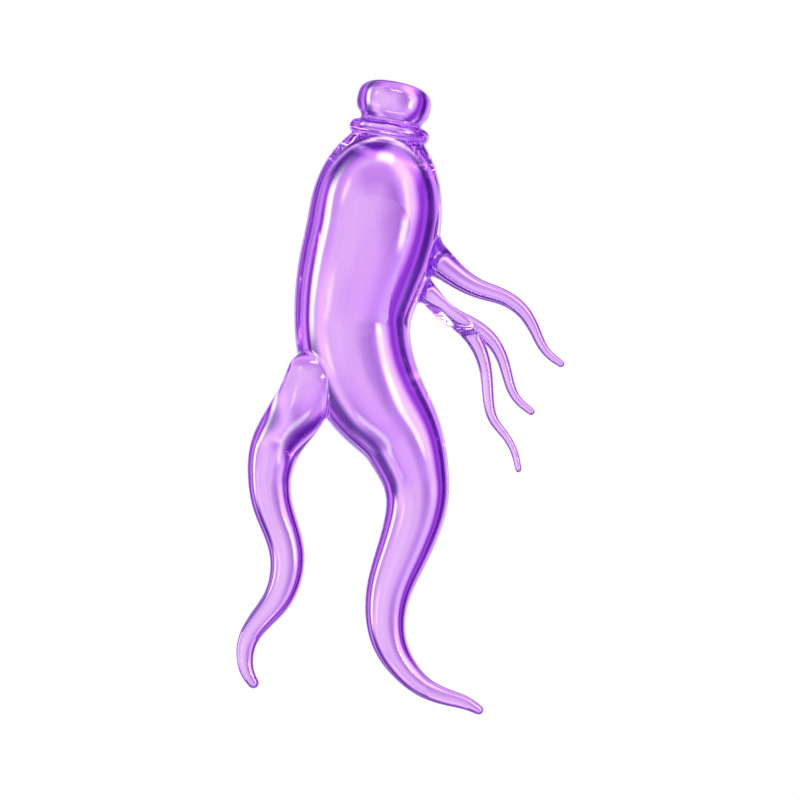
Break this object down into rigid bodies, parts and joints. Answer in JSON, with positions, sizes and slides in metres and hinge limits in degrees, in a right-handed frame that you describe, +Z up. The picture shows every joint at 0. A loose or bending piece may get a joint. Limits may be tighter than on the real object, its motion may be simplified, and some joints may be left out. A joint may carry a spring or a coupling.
{
  "type": "glass ginseng root ornament",
  "caption": "Solid violet glass ornament in the shape of a ginseng root: knobbed crown with a collar, thick body, two curling legs and fine side roots, made to lie on a surface.",
  "frame": {"origin": "middle of the object's box seen from above, on the surface that it lies on", "axes": "+Z up; +Y along the root towards its crown; +X to the side of the fine roots"},
  "size_m": [0.0821, 0.1587, 0.033],
  "materials": {
    "violet_glass": "polished clear violet glass"
  },
  "bodies": {
    "root": {"ginseng_root": "violet_glass"}
  },
  "joints": []
}
